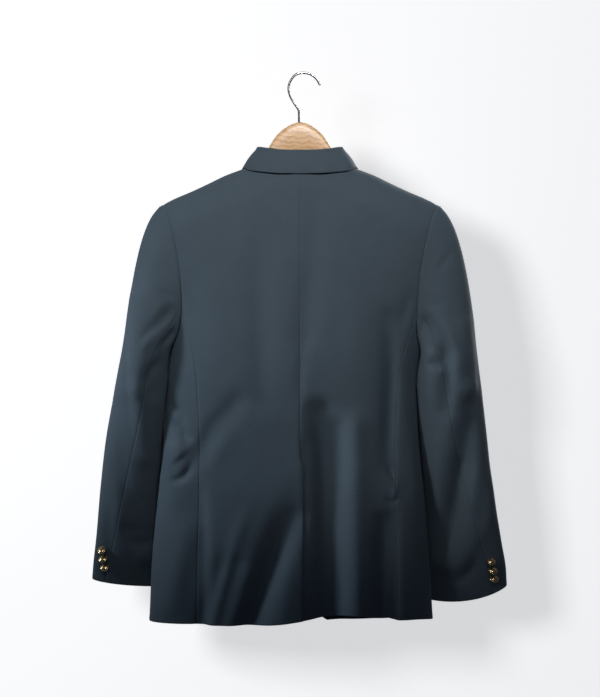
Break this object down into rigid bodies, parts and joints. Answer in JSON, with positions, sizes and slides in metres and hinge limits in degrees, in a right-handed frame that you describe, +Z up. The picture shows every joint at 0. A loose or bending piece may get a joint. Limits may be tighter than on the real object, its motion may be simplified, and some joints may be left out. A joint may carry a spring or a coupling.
{
  "type": "blazer on a hanger",
  "caption": "Single-breasted navy cloth blazer with notched lapels, centre vent and brass buttons, hung on a shaped wooden hanger with a wire hook.",
  "frame": {"origin": "the inner top of the hanger's hook, where it bears on a rail", "axes": "+Z up, the back of the blazer faces +Y, the wearer's left is +X"},
  "size_m": [0.7008, 0.1606, 0.933],
  "materials": {
    "cloth": "matte navy twill, slightly napped",
    "brass": "polished, domed",
    "wood": "pale satin-lacquered beech",
    "wire": "bright drawn wire"
  },
  "bodies": {
    "root": {"back_left": "cloth", "front_left": "cloth", "side_left": "cloth", "lapel_left": "cloth", "top_sleeve_left": "cloth", "under_sleeve_left": "cloth", "pocket_flap_left": "cloth", "back_right": "cloth", "front_right": "cloth", "side_right": "cloth", "lapel_right": "cloth", "top_sleeve_right": "cloth", "under_sleeve_right": "cloth", "pocket_flap_right": "cloth", "collar": "cloth", "breast_welt": "cloth", "button_cuff_left_1": "brass", "button_cuff_left_2": "brass", "button_cuff_left_3": "brass", "button_cuff_right_1": "brass", "button_cuff_right_2": "brass", "button_cuff_right_3": "brass", "button_front_1": "brass", "button_front_2": "brass", "hanger_wood": "wood", "hanger_hook": "wire"}
  },
  "joints": []
}
